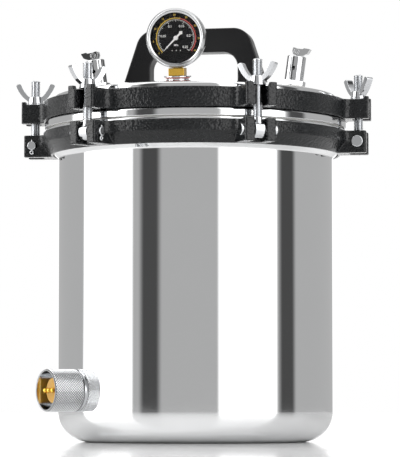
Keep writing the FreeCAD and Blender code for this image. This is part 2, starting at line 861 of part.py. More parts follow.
def bourdon_tube():
    coil_r, tube_r, sweep, depth = bourdon_coil
    coil = Part.makeTorus(coil_r, tube_r, Vector(0, 0, depth), Vector(0, 0, 1), 0, 360, sweep)
    coil = turn(coil, -90.0)
    movement = cylinder(movement_r, gauge_back + gauge_case_wall, movement_top)
    return gauge_place(Part.makeCompound([coil, movement]))


def gauge_stem():
    half = stem_square / 2
    thread = cylinder(stem_thread_r, *stem_thread_span)
    collar = block(-half, half, -half, half, stem_foot, gauge_axis_height - gauge_bezel_r - running_gap)
    riser = block(-riser_half, riser_half, *riser_depth, riser_foot, gauge_axis_height - riser_reach)
    stem = joined([thread, collar, riser])
    return placed(stem, dome_frame(gauge_turn, gauge_place_r))


def gauge_stack(outer_r, z0, z1):
    ring = tube(stem_thread_r, outer_r, z0, z1)
    return placed(ring, dome_frame(gauge_turn, gauge_place_r)).cut(OVER_LID)


def gauge_washers():
    return Part.makeCompound([gauge_stack(*gauge_foot_washer), gauge_stack(*gauge_top_washer)])


def gauge_seal():
    return gauge_stack(*gauge_foot_seal)


def gauge_nut():
    nut = hexagon(valve_nut_flats, gauge_nut_foot, 0.0)
    nut = nut.cut(cylinder(stem_thread_r, gauge_nut_foot - EXTRA, EXTRA))
    return placed(nut, dome_frame(gauge_turn, gauge_place_r)).common(UNDER_LID)


# ---- valves, built on the dome with Z along its normal ----
VALVES = {
    "relief": (relief_angle, relief_place_r, relief_spin),
    "vent": (vent_angle, vent_place_r, vent_spin),
}


def valve_frame(name):
    angle, r, spin = VALVES[name]
    return dome_frame(angle, r).multiply(Placement(Vector(0, 0, 0), Rotation(Vector(0, 0, 1), spin)))


def valve_body(place):
    hexagonal = hexagon(valve_hex_flats, *valve_hex_span)
    round_c = (valve_barrel_r - valve_top_round, valve_top - valve_top_round)
    barrel = turned([
        (0, valve_hex_span[0]),
        (valve_barrel_r, valve_hex_span[0]),
        (valve_barrel_r, round_c[1]),
        arc_step(round_c, valve_top_round, 0, 90),
        (0, valve_top),
    ])
    thread = cylinder(valve_thread_r, valve_thread_foot, valve_hex_span[1])
    body = joined([hexagonal, barrel, thread])
    body = body.cut(cylinder(valve_chamber_r, *valve_chamber_span))
    body = body.cut(cylinder(valve_stem_r + running_gap, 0, valve_top + EXTRA))
    body = body.cut(cylinder(vent_tube_bore_r, valve_thread_foot - EXTRA, valve_inlet_top))
    body = body.cut(rod_x(valve_port_r, -2 * valve_barrel_r, 2 * valve_barrel_r, 0, valve_port_height))
    return placed(body, place)


def valve_seals():
    rings = []
    for name in VALVES:
        ring = tube(valve_thread_r, valve_seal_r, valve_seal_foot, valve_hex_span[0])
        ring = placed(ring, valve_frame(name))
        rings.append(ring.cut(OVER_LID))
    return Part.makeCompound(rings)


def valve_nuts():
    nuts = []
    for name in VALVES:
        nut = hexagon(valve_nut_flats, valve_nut_foot, 0.0)
        nut = nut.cut(cylinder(valve_thread_r, valve_nut_foot - EXTRA, EXTRA))
        nuts.append(placed(nut, valve_frame(name)).common(UNDER_LID))
    return Part.makeCompound(nuts)


def valve_stem(place):
    """The lifting stem with its sealing head, and the pin that carries the lever."""
    rod = cylinder(valve_stem_r, valve_head_span[0], valve_neck_start)
    head = cylinder(valve_head_r, *valve_head_span)
    tongue_foot = lever_pivot_height - lever_tongue_top
    neck = cylinder(valve_neck_r, valve_neck_start, tongue_foot + lever_tongue_overlap)
    tongue = block(-valve_neck_r, valve_neck_r, -valve_stem_r, valve_stem_r,
                   tongue_foot, lever_pivot_height + lever_tongue_top)
    bore = rod_x(lever_pin_r, -EXTRA, EXTRA, 0, lever_pivot_height)
    pin_half = lever_half_width + lever_pin_end
    pin = rod_x(lever_pin_r, -pin_half, pin_half, 0, lever_pivot_height)
    stem = joined([rod, head, neck, tongue]).cut(bore)
    return placed(Part.makeCompound([stem, pin]), place)


def valve_lever(place):
    """A flip lever: a cam round the pin and a tab that leads outward."""
    cam_x, cam_z = lever_cam_offset
    cam = Part.makeCylinder(lever_cam_r, 2 * lever_half_width, Vector(cam_x, -lever_half_width, cam_z),
                            Vector(0, 1, 0))
    tab = plate([
        (-4.6, 1.0),
        (0.0, -3.7),
        (4.0, -3.7),
        (9.6, -2.8, lever_length, 3.6),
        (lever_length - 0.4, 4.6),
        (7.0, 4.6),
        (5.6, 3.6),
        (0.0, 3.6),
        (-4.6, 4.6),
    ], lever_half_width)
    lever = joined([cam, tab])
    slot = block(-2 * lever_cam_r, lever_slot_end, -lever_tongue_half, lever_tongue_half,
                 -3 * lever_cam_r, 3 * lever_cam_r)
    bore = Part.makeCylinder(lever_pin_r + running_gap, 4 * lever_half_width,
                             Vector(0, -2 * lever_half_width, 0), Vector(0, 1, 0))
    lever = turn(lever.cut(slot).cut(bore), -90)
    lever.translate(Vector(0, 0, lever_pivot_height))
    return placed(lever, place)


def vent_tube():
    spot = tube_spot()
    top = spot.z + vent_tube_reach
    pipe = tube(vent_tube_bore_r, vent_tube_r, vent_tube_foot_z, top)
    pipe.translate(Vector(spot.x, spot.y, 0))
    return pipe.cut(placed(hexagon(valve_nut_flats, valve_thread_foot, valve_top), valve_frame("vent")))


WING_SPIN = {1: 131.5, 2: 41.5, 3: 35.0, 4: 80.0, 5: 98.5, 6: 73.0}


def build():
    """Every node by its name."""
    nodes = {
        "pot_shell": pot_shell(),
        "lower_clamp_ring": lower_clamp_ring(),
        "heater_element": heater_element(),
        "inlet_housing": inlet_housing(),
        "inlet_insulator": inlet_insulator(),
        "inlet_contacts": inlet_contacts(),
        "inlet_seal": inlet_seal(),
        "inlet_lock_nut": inlet_lock_nut(),
        "steam_rack": steam_rack(),
        "hinge_pins": Part.makeCompound(each_lug(hinge_pin())),
        "split_pins": Part.makeCompound(each_lug(split_pin())),
        "inner_bucket": inner_bucket(),
        "vent_guide": vent_guide(),
        "bucket_handle": bucket_handle(),
        "knurled_collar": knurled_collar(),
        "lid_shell": lid_shell(),
        "upper_clamp_ring": upper_clamp_ring(),
        "lid_gasket": lid_gasket(),
        "carry_handle": carry_handle(),
        "handle_screws": handle_screws(),
        "handle_washers": handle_washers(),
        "gauge_case": gauge_case(),
        "gauge_bezel": gauge_bezel(),
        "gauge_glass": gauge_glass(),
        "gauge_dial": gauge_dial(),
        "gauge_pointer": gauge_pointer(),
        "bourdon_tube": bourdon_tube(),
        "gauge_stem": gauge_stem(),
        "gauge_washers": gauge_washers(),
        "gauge_seal": gauge_seal(),
        "gauge_nut": gauge_nut(),
        "valve_seals": valve_seals(),
        "valve_nuts": valve_nuts(),
        "vent_tube": vent_tube(),
    }
    for name in VALVES:
        place = valve_frame(name)
        nodes[name + "_valve_body"] = valve_body(place)
        nodes[name + "_valve_stem"] = valve_stem(place)
        nodes[name + "_valve_lever"] = valve_lever(place)
    for i, angle in enumerate(LUG_ANGLES):
        number = i + 1
        nodes["swing_bolt_%d" % number] = turn(swing_bolt(), angle)
        nodes["clamp_washer_%d" % number] = turn(clamp_washer(), angle)
        nodes["wing_nut_%d" % number] = turn(wing_nut(WING_SPIN[number]), angle)
    return nodes


os.makedirs("parts", exist_ok=True)
for node, shape in build().items():
    if not shape.isValid():
        print("invalid", node)
    print(node, len(shape.Solids), round(shape.Volume))
    shape.exportStep("parts/%s.step" % node)
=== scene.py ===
"""Looks of the portable steam steriliser: materials, fine meshes, light and camera."""
import json
import math

import bmesh
import bpy
from mathutils import Matrix, Vector, noise


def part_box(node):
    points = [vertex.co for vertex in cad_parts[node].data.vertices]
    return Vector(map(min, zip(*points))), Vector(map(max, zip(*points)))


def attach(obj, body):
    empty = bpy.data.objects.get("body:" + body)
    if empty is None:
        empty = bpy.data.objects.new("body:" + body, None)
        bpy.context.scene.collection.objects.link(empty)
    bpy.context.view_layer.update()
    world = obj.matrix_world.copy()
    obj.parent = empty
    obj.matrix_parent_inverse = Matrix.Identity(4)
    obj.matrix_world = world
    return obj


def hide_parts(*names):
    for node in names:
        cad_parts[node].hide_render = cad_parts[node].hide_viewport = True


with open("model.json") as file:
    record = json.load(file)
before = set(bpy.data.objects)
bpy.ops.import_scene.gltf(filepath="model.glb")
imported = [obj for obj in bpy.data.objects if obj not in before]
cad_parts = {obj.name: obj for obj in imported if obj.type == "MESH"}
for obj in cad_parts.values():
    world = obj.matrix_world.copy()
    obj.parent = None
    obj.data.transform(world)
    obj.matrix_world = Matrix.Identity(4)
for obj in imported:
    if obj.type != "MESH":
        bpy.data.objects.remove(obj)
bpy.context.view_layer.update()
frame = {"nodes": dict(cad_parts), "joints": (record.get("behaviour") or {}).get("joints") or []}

MM = 0.001
JOINTS = {j["name"]: j for j in frame["joints"]}
NODES = frame["nodes"]

# ---- sizes in millimetres, where the frame's boxes don't say them ----
POT_R = 142.0
POT_WALL = 2.0
POT_BASE_ROUND = 31.0
POT_FLARE_Z = 292.4
POT_NECK_Z = 297.4
POT_NECK_R = 147.7
LID_NECK_R = 147.0
DOME_R = 770.0
BOLT_R = 5.0
THREAD_PITCH = 1.5
THREAD_DEPTH = 0.85
LUG_COUNT = 6
# radius and fade width of the painted shade in the knurl's grooves
GROOVE_R = 20.8
GROOVE_SHADE_FADE = 0.4

BOX = {name: tuple(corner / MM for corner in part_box(name)) for name in NODES}


# =====================================================================
# mesh tools
# =====================================================================
def rounded(points, closed=False, steps=5):
    """Corners (a, b, radius) as a polyline with an arc of that radius at each corner."""
    line = []
    last = len(points) - 1
    for i, (a, b, radius) in enumerate(points):
        here = Vector((a, b))
        if radius == 0 or (not closed and i in (0, last)):
            line.append(here)
            continue
        before = (Vector(points[i - 1][:2]) - here).normalized()
        after = (Vector(points[(i + 1) % len(points)][:2]) - here).normalized()
        half = before.angle(after) / 2
        centre = here + (before + after).normalized() * (radius / math.sin(half))
        start = here + before * (radius / math.tan(half)) - centre
        end = here + after * (radius / math.tan(half)) - centre
        sweep = math.atan2(start.x * end.y - start.y * end.x, start.dot(end))
        for k in range(steps + 1):
            t = sweep * k / steps
            spin = Matrix(((math.cos(t), -math.sin(t)), (math.sin(t), math.cos(t))))
            line.append(centre + spin @ start)
    return [(p.x, p.y) for p in line]


def new_object(name, verts, faces, place=Matrix(), scale=MM, smooth_angle=40.0):
    """A mesh object from millimetre vertices, set in the row frame by place."""
    mesh = bpy.data.meshes.new(name)
    mesh.from_pydata([place @ (Vector(v) * scale) for v in verts], [], faces)
    mesh.update()
    shape = bmesh.new()
    shape.from_mesh(mesh)
    bmesh.ops.remove_doubles(shape, verts=shape.verts, dist=1e-7)
    bmesh.ops.recalc_face_normals(shape, faces=shape.faces)
    shape.to_mesh(mesh)
    shape.free()
    obj = bpy.data.objects.new(name, mesh)
    bpy.context.scene.collection.objects.link(obj)
    smooth(obj, smooth_angle)
    return obj


def smooth(obj, angle=40.0):
    mesh = obj.data
    mesh.polygons.foreach_set("use_smooth", [True] * len(mesh.polygons))
    mesh.set_sharp_from_angle(angle=math.radians(angle))
    mesh.update()


def turned_mesh(profile, segments=96, closed=True):
    """Vertices and faces of a profile of (radius, height) turned round Z."""
    verts, faces, rings = [], [], []
    for r, z in profile:
        if r < 1e-6:
            rings.append([len(verts)] * segments)
            verts.append((0.0, 0.0, z))
            continue
        rings.append(list(range(len(verts), len(verts) + segments)))
        for k in range(segments):
            t = 2 * math.pi * k / segments
            verts.append((r * math.cos(t), r * math.sin(t), z))
    pairs = list(zip(rings, rings[1:]))
    if closed:
        pairs.append((rings[-1], rings[0]))
    for low, high in pairs:
        for k in range(segments):
            n = (k + 1) % segments
            face = []
            for v in (low[k], low[n], high[n], high[k]):
                if v not in face:
                    face.append(v)
            if len(face) > 2:
                faces.append(face)
    return verts, faces


def turned(name, profile, place=Matrix(), segments=96, closed=True, smooth_angle=40.0):
    verts, faces = turned_mesh(profile, segments, closed)
    return new_object(name, verts, faces, place, smooth_angle=smooth_angle)


def slab_mesh(outline, low, high):
    """An outline in XY, from height low to high, closed above and below."""
    n = len(outline)
    verts = [(x, y, low) for x, y in outline] + [(x, y, high) for x, y in outline]
    faces = [list(range(n))[::-1], list(range(n, 2 * n))]
    faces += [[k, (k + 1) % n, n + (k + 1) % n, n + k] for k in range(n)]
    return verts, faces


def merged(parts):
    """Several (verts, faces) as one."""
    verts, faces = [], []
    for v, f in parts:
        start = len(verts)
        verts += list(v)
        faces += [[start + i for i in face] for face in f]
    return verts, faces


def moved(part, place):
    verts, faces = part
    return [tuple(place @ Vector(v)) for v in verts], faces


def apply_modifiers(obj):
    graph = bpy.context.evaluated_depsgraph_get()
    mesh = bpy.data.meshes.new_from_object(obj.evaluated_get(graph))
    obj.modifiers.clear()
    obj.data = mesh
    return obj


def bevel(obj, width, segments=3, angle=35.0):
    """Rounds the piece's sharp edges by width millimetres."""
    step = obj.modifiers.new("bevel", "BEVEL")
    step.width = width * MM
    step.segments = segments
    step.limit_method = "ANGLE"
    step.angle_limit = math.radians(angle)
    apply_modifiers(obj)
    smooth(obj, angle)
    return obj


def frame_from(origin, z_axis, x_axis):
    """A matrix with that origin in metres, its Z and its X as near as it can be."""
    z = Vector(z_axis).normalized()
    y = z.cross(Vector(x_axis)).normalized()
    x = y.cross(z)
    turn = Matrix((x, y, z)).transposed().to_4x4()
    turn.translation = Vector(origin)
    return turn


def stands_for(obj, body, slot_name, material, *nodes, even=True):
    if even:
        step = obj.modifiers.new("normals", "WEIGHTED_NORMAL")
        step.keep_sharp = True
        apply_modifiers(obj)
    obj.data.materials.clear()
    obj.data.materials.append(material)
    if nodes:
        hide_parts(*nodes)
    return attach(obj, body)


# =====================================================================
# materials
# =====================================================================
class Maker:
    """Builds one node material with a Principled shader."""

    def __init__(self, name, color, metallic=0.0, roughness=0.4, **values):
        self.material = bpy.data.materials.new(name)
        self.material.use_nodes = True
        self.tree = self.material.node_tree
        self.shader = self.tree.nodes["Principled BSDF"]
        self.set("Base Color", (*color, 1.0))
        self.set("Metallic", metallic)
        self.set("Roughness", roughness)
        for key, value in values.items():
            self.set(key.replace("_", " "), value)
        self.place = self.tree.nodes.new("ShaderNodeTexCoord").outputs["Object"]

    def set(self, socket, value):
        self.shader.inputs[socket].default_value = value

    def node(self, kind, inputs=None, **settings):
        made = self.tree.nodes.new(kind)
        for key, value in settings.items():
            setattr(made, key, value)
        for key, value in (inputs or {}).items():
            if isinstance(value, bpy.types.NodeSocket):
                self.tree.links.new(value, made.inputs[key])
            else:
                made.inputs[key].default_value = value
        return made

    def link(self, output, socket):
        self.tree.links.new(output, self.shader.inputs[socket])

    def stretched(self, scale):
        node = self.node("ShaderNodeMapping", {"Vector": self.place, "Scale": scale})
        return node.outputs["Vector"]

    def noise(self, scale, detail=3.0, vector=None, roughness=0.55):
        made = self.node("ShaderNodeTexNoise",
                         {"Vector": vector or self.place, "Scale": scale, "Detail": detail,
                          "Roughness": roughness})
        return made.outputs["Fac"]

    def ramp(self, fac, low, high, value_low, value_high):
        made = self.node("ShaderNodeMapRange",
                         {"Value": fac, "From Min": low, "From Max": high, "To Min": value_low,
                          "To Max": value_high})
        return made.outputs["Result"]

    def mix(self, fac, a, b):
        made = self.node("ShaderNodeMix", data_type="RGBA")
        self.tree.links.new(fac, made.inputs["Factor"])
        made.inputs["A"].default_value = (*a, 1.0)
        made.inputs["B"].default_value = (*b, 1.0)
        return made.outputs["Result"]

    def bump(self, height, strength, distance, chain=None):
        inputs = {"Height": height, "Strength": strength, "Distance": distance}
        if chain is not None:
            inputs["Normal"] = chain
        return self.node("ShaderNodeBump", inputs).outputs["Normal"]


def polished_metal(name, color, roughness=0.05, streak=0.02, scratch=0.02, scale=(1, 1, 1)):
    """Polished metal with faint draw marks and a little uneven gloss."""
    made = Maker(name, color, metallic=1.0, roughness=roughness)
    marks = made.noise(420.0, 4.0, made.stretched(scale))
    clouds = made.noise(18.0, 3.0)
    made.link(made.ramp(clouds, 0.3, 0.75, roughness, roughness + streak), "Roughness")
    made.link(made.mix(clouds, tuple(c * 0.97 for c in color), color), "Base Color")
    made.link(made.bump(marks, scratch, 0.0001), "Normal")
    return made.material


def hammertone():
    """Black hammer-finish paint: smooth lenses of about 2 mm with narrow furrows between."""
    made = Maker("hammer_black", (0.006, 0.0065, 0.007), roughness=0.16, Specular_IOR_Level=0.35)
    wobble = made.node("ShaderNodeTexNoise", {"Vector": made.place, "Scale": 330.0, "Detail": 2.0})
    shift = made.node("ShaderNodeMixRGB", {"Fac": 0.003, "Color1": made.place,
                                           "Color2": wobble.outputs["Color"]}, blend_type="ADD")
    cells = made.node("ShaderNodeTexVoronoi",
                      {"Vector": shift.outputs["Color"], "Scale": 430.0, "Smoothness": 0.6},
                      feature="SMOOTH_F1")
    swell = made.noise(420.0, 2.0)
    low = made.bump(swell, 0.7, 0.0007)
    made.link(made.bump(cells.outputs["Distance"], 0.8, 0.0005, low), "Normal")
    made.link(made.mix(made.ramp(cells.outputs["Distance"], 0.1, 0.7, 0.0, 1.0),
                       (0.005, 0.0055, 0.006), (0.010, 0.011, 0.012)), "Base Color")
    made.link(made.ramp(swell, 0.3, 0.7, 0.10, 0.15), "Roughness")
    return made.material


def moulded(name, color, roughness, bump=0.05, coat=0.0, spread=0.08, scale=900.0, gloss=0.5):
    made = Maker(name, color, roughness=roughness, Coat_Weight=coat, Coat_Roughness=0.15,
                 Specular_IOR_Level=gloss)
    grain = made.noise(scale, 3.0)
    clouds = made.noise(40.0, 2.0)
    made.link(made.ramp(clouds, 0.3, 0.7, roughness - spread / 2, roughness + spread / 2), "Roughness")
    made.link(made.mix(clouds, tuple(c * 0.85 for c in color), color), "Base Color")
    made.link(made.bump(grain, bump, 0.0001), "Normal")
    return made.material


def amber():
    """Honey-coloured glazed insulator, darker in its depth."""
    made = Maker("amber", (0.62, 0.33, 0.05), roughness=0.2, Coat_Weight=0.5, Coat_Roughness=0.08,
                 Subsurface_Weight=0.15)
    clouds = made.noise(160.0, 3.0)
    made.link(made.mix(clouds, (0.54, 0.28, 0.04), (0.68, 0.37, 0.06)), "Base Color")
    made.link(made.bump(made.noise(900.0), 0.05, 0.0001), "Normal")
    return made.material


def knurl_with_painted_groove_shade():
    """Bright metal with painted shade: dark only near the depth of the knurl's grooves as measured from the
    collar's axis.
    """
    made = Maker("knurl_painted_groove_shade", (0.80, 0.81, 0.82), metallic=1.0, roughness=0.15)
    joint = JOINTS["collar_spin"]
    from_axis = made.node("ShaderNodeVectorMath", {0: made.place, 1: joint["pos_m"]}, operation="SUBTRACT")
    lever = made.node("ShaderNodeVectorMath", {0: from_axis.outputs["Vector"], 1: joint["axis"]},
                      operation="CROSS_PRODUCT")
    across = made.node("ShaderNodeVectorMath", {0: lever.outputs["Vector"]}, operation="LENGTH")
    from_groove = made.node("ShaderNodeMath", {0: across.outputs["Value"], 1: GROOVE_R * MM},
                            operation="SUBTRACT")
    gap = made.node("ShaderNodeMath", {0: from_groove.outputs[0]}, operation="ABSOLUTE")
    crest = made.ramp(gap.outputs[0], 0.0, GROOVE_SHADE_FADE * MM, 0.0, 1.0)
    # painted shade: the base colour turns near black at the grooves' depth and fades back to bright metal
    # towards the crests
    made.link(made.mix(crest, (0.06, 0.062, 0.065), (0.80, 0.81, 0.82)), "Base Color")
    made.link(made.ramp(made.noise(60.0), 0.3, 0.7, 0.12, 0.18), "Roughness")
    return made.material


def window_glass():
    made = Maker("clear_glass", (1.0, 1.0, 1.0), roughness=0.0, Transmission_Weight=1.0, IOR=1.18,
                 Specular_IOR_Level=0.15)
    smudge = made.noise(120.0, 2.0)
    made.link(made.ramp(smudge, 0.35, 0.8, 0.0, 0.03), "Roughness")
    return made.material


MAT = {
    "steel": polished_metal("polished_steel", (0.80, 0.805, 0.81), 0.03, 0.012, 0.01, (0.02, 0.02, 1.0)),
    "lid": polished_metal("lid_steel", (0.80, 0.805, 0.81), 0.06, 0.03, 0.02),
    "zinc": polished_metal("zinc_plate", (0.62, 0.63, 0.645), 0.06, 0.04, 0.03),
    "satin": polished_metal("satin_steel", (0.66, 0.67, 0.68), 0.22, 0.12, 0.12, (0.05, 0.05, 1.0)),
    "brass": polished_metal("brass", (0.66, 0.41, 0.07), 0.2, 0.1, 0.08),
    "bright": knurl_with_painted_groove_shade(),
    "gold": polished_metal("gold_contact", (0.85, 0.55, 0.08), 0.18, 0.06, 0.04),
    "hammer": hammertone(),
    "handle": moulded("phenolic_black", (0.006, 0.006, 0.0065), 0.30, 0.04, gloss=0.3),
    "dial": moulded("dial_black", (0.004, 0.004, 0.005), 0.5, 0.03, gloss=0.08),
    "white": moulded("print_white", (0.94, 0.94, 0.92), 0.5, 0.02),
    "yellow": moulded("print_yellow", (0.80, 0.55, 0.06), 0.5, 0.02),
    "red": moulded("print_red", (0.72, 0.10, 0.08), 0.5, 0.02),
    "seal_red": moulded("silicone_red", (0.60, 0.22, 0.20), 0.45, 0.1),
    "seal_white": moulded("silicone_white", (0.72, 0.71, 0.68), 0.45, 0.1),
    "amber": amber(),
    "glass": window_glass(),
    "bezel": polished_metal("bezel_steel", (0.55, 0.555, 0.56), 0.14, 0.06, 0.04),
    "chrome": polished_metal("chrome", (0.66, 0.665, 0.67), 0.05, 0.04, 0.02),
}


def node_frame(name, sign=1.0):
    """The frame of a hinge: its place, its axis as Z and the sky as near to Y as it can be."""
    axis = Vector(JOINTS[name]["axis"]) * sign
    side = Vector((0, 0, 1)).cross(axis)
    return frame_from(JOINTS[name]["pos_m"], axis, side)


def spin_z(degrees):
    return Matrix.Rotation(math.radians(degrees), 4, "Z")


def shift(x, y, z):
    return Matrix.Translation(Vector((x, y, z)) * MM)


def lug_angle(number):
    x, y, _ = JOINTS["bolt_swing_%d" % number]["pos_m"]
    return math.degrees(math.atan2(x, -y))


def carve(obj, *cutters):
    """Cuts the pieces out of obj and throws them away."""
    for cutter in cutters:
        step = obj.modifiers.new("cut", "BOOLEAN")
        step.operation = "DIFFERENCE"
        step.solver = "EXACT"
        step.object = cutter
    apply_modifiers(obj)
    for cutter in cutters:
        bpy.data.objects.remove(cutter)
    return obj


def rod(name, radius, low, high, place, segments=48):
    return turned(name, [(0, low), (radius, low), (radius, high), (0, high)], place, segments, closed=False)


# =====================================================================
# pot and lid
# =====================================================================
def pot_piece():
    rim_z = BOX["pot_shell"][1].z
    lip_r = BOX["pot_shell"][1].x
    inner_r = POT_R - POT_WALL
    corners = [
        (0, 0, 0), (60, 0, 0), (POT_R, 0, POT_BASE_ROUND), (POT_R, POT_FLARE_Z, 2.5),
        (POT_NECK_R, POT_NECK_Z, 2.0), (POT_NECK_R, rim_z - 3.6, 1.6), (lip_r, rim_z - 3.0, 1.35),
        (lip_r, rim_z, 1.35), (POT_NECK_R - POT_WALL, rim_z, 1.2),
        (POT_NECK_R - POT_WALL, POT_NECK_Z + 1, 2.0), (inner_r, POT_FLARE_Z + 1, 2.5),
        (inner_r, POT_WALL, POT_BASE_ROUND - POT_WALL), (60, POT_WALL, 0), (0, POT_WALL, 0),
    ]
    pot = turned("pot_body", rounded(corners, steps=14), segments=288, closed=False)
    hole = rod("hole", 14.05, 120.0, 160.0, node_frame("collar_spin") @ shift(0, 0, -158.0))
    carve(pot, hole)
    smooth(pot, 32)
    return stands_for(pot, "vessel", "polished_steel", MAT["steel"], "pot_shell")


def dome_z(r):
    return BOX["lid_shell"][1].z - DOME_R + math.sqrt(DOME_R ** 2 - r * r)


def lid_piece():
    lid_low = BOX["lid_shell"][0].z
    rim_r = BOX["lid_shell"][1].x
    flange = BOX["upper_clamp_ring"][0].z
    shoulder = LID_NECK_R
    crown = [(r, dome_z(r), 0) for r in [0.0, 8, 16, 24, 32, 40, 50, 60, 70, 80, 90, 100, 110, 120, 130, 138]]
    skin = [(r, z - 2.0, 0) for r, z, _ in reversed(crown)]
    corners = crown + [
        (shoulder, dome_z(shoulder), 3.0), (shoulder, flange, 0.8), (rim_r, flange, 2.6),
        (rim_r, lid_low, 0.8), (rim_r - 2.0, lid_low, 0.5), (rim_r - 2.0, flange - 2.0, 0.5),
        (shoulder - 2.0, flange - 2.0, 0.8), (shoulder - 2.0, dome_z(shoulder) - 2.2, 2.0),
    ] + skin
    lid = turned("lid_dome", rounded(corners, steps=8), segments=288, closed=False)
    return stands_for(lid, "lid", "polished_steel", MAT["lid"], "lid_shell")


# =====================================================================
# cast clamp rings
# =====================================================================
def cast_copy(node, name, voxel=1.0, passes=1):
    """The node's casting with softened edges and an uneven skin."""
    obj = bpy.data.objects.new(name, NODES[node].data.copy())
    bpy.context.scene.collection.objects.link(obj)
    step = obj.modifiers.new("remesh", "REMESH")
    step.mode = "VOXEL"
    step.voxel_size = voxel * MM
    ease = obj.modifiers.new("ease", "SMOOTH")
    ease.factor = 0.5
    ease.iterations = passes
    apply_modifiers(obj)
    mesh = obj.data
    normals = [v.normal.copy() for v in mesh.vertices]
    for v, n in zip(mesh.vertices, normals):
        swell = noise.noise(v.co * 70.0) * 0.08 + noise.noise(v.co * 260.0) * 0.03
        v.co += n * (swell * MM)
    smooth(obj, 60)
    return obj


def clamp_rings():
    for node, body, name in (("lower_clamp_ring", "vessel", "pot_clamp_casting"),
                             ("upper_clamp_ring", "lid", "lid_clamp_casting")):
        ring = cast_copy(node, name, 0.8)
        stands_for(ring, body, "hammer_black", MAT["hammer"], node, even=False)


# =====================================================================
# swing bolts, washers, wing nuts and pins
# =====================================================================
def thread_rows(radius, low, high, columns=28, per_turn=8):
    """Rows of a rolled thread: the radius follows a rounded V that climbs with the angle."""
    rows = []
    count = int((high - low) / THREAD_PITCH * per_turn)
    for i in range(count + 1):
        z = low + (high - low) * i / count
        fade = min(1.0, (high - z) / 0.8, (z - low) / 1.6)
        row = []
        for k in range(columns):
            t = (z / THREAD_PITCH - k / columns) % 1.0
            groove = 0.5 - 0.5 * math.cos(2 * math.pi * t)
            r = radius - THREAD_DEPTH * max(0.0, fade) * groove ** 0.8
            a = 2 * math.pi * k / columns
            row.append((r * math.cos(a), r * math.sin(a), z))
        rows.append(row)
    return rows


def rows_mesh(rows, cap_low=True, cap_high=True):
    n = len(rows[0])
    verts = [p for row in rows for p in row]
    faces = []
    for i in range(len(rows) - 1):
        for k in range(n):
            j = (k + 1) % n
            faces.append([i * n + k, i * n + j, (i + 1) * n + j, (i + 1) * n + k])
    if cap_low:
        faces.append(list(range(n))[::-1])
    if cap_high:
        top = (len(rows) - 1) * n
        faces.append([top + k for k in range(n)])
    return verts, faces


def circle_row(radius, z, columns=28):
    return [(radius * math.cos(2 * math.pi * k / columns), radius * math.sin(2 * math.pi * k / columns), z)
            for k in range(columns)]


def eye_bolt(number):
    box = BOX["swing_bolt_%d" % number]
    pin_z = JOINTS["bolt_swing_%d" % number]["pos_m"][2] / MM
    top = box[1].z
    rows = [circle_row(r, z) for r, z in ((6.2, pin_z + 5.4), (5.9, pin_z + 6.6), (5.5, pin_z + 7.8),
                                          (5.1, pin_z + 9.2), (BOLT_R - 0.1, pin_z + 10.5))]
    rows += thread_rows(BOLT_R, pin_z + 11.5, top - 0.9)
    rows += [circle_row(BOLT_R - 0.75, top - 0.6), circle_row(BOLT_R - 1.4, top)]
    shank = rows_mesh(rows)
    bore, rim, half = 4.56, 8.2, 5.2
    eye = turned_mesh(rounded([(bore, -half, 0.5), (rim, -half, 0.9), (rim, half, 0.9), (bore, half, 0.5)],
                              closed=True, steps=4), 64)
    eye = moved(eye, Matrix.Translation((0, 0, pin_z)) @ Matrix.Rotation(math.radians(90), 4, "Y"))
    verts, faces = merged([shank, eye])
    spot = Vector(JOINTS["bolt_swing_%d" % number]["pos_m"])
    place = Matrix.Translation((spot.x, spot.y, 0)) @ spin_z(lug_angle(number))
    bolt = new_object("eye_bolt_%d" % number, verts, faces, place, smooth_angle=50)
    stands_for(bolt, "bolt_%d" % number, "zinc_plate", MAT["zinc"], "swing_bolt_%d" % number)


def flat_washer(number):
    low, high = BOX["clamp_washer_%d" % number]
    outer = (high.x - low.x) / 2
    centre = (low + high) / 2
    profile = rounded([(5.3, low.z, 0.25), (outer, low.z, 0.45), (outer, high.z, 0.45), (5.3, high.z, 0.25)],
                      closed=True, steps=3)
    place = Matrix.Translation((centre.x * MM, centre.y * MM, 0))
    ring = turned("flat_washer_%d" % number, profile, place, 64)
    stands_for(ring, "washer_%d" % number, "zinc_plate", MAT["zinc"], "clamp_washer_%d" % number)


def spline(points, steps=6):
    """A smooth open line through the points (Catmull-Rom)."""
    line = []
    pts = [Vector(p) for p in points]
    pts = [pts[0] * 2 - pts[1]] + pts + [pts[-1] * 2 - pts[-2]]
    for a, b, c, d in zip(pts, pts[1:], pts[2:], pts[3:]):
        for k in range(steps):
            t = k / steps
            line.append(0.5 * ((2 * b) + (c - a) * t + (2 * a - 5 * b + 4 * c - d) * t * t
                               + (3 * b - a - 3 * c + d) * t ** 3))
    line.append(pts[-2])
    return [(p.x, p.y) for p in line]


def wing_mesh(side):
    """One wing: a bar that curves up and out, with a squared, rounded end."""
    outer = spline([(6.0, 1.8), (8.6, 3.4), (12.3, 6.4), (15.4, 10.0), (18.3, 14.4), (20.3, 18.6)])
    end = [(20.4, 19.6), (19.5, 20.6), (17.3, 21.3), (16.1, 21.3)]
    inner = spline([(15.1, 20.6), (13.3, 16.6), (11.0, 12.7), (8.4, 9.4), (6.0, 7.4)])
    ring = outer + end + inner
    half = 3.7
    verts, faces = slab_mesh(ring, -half, half)
    verts = [(side * x, -side * z, y) for x, y, z in verts]
    return verts, faces


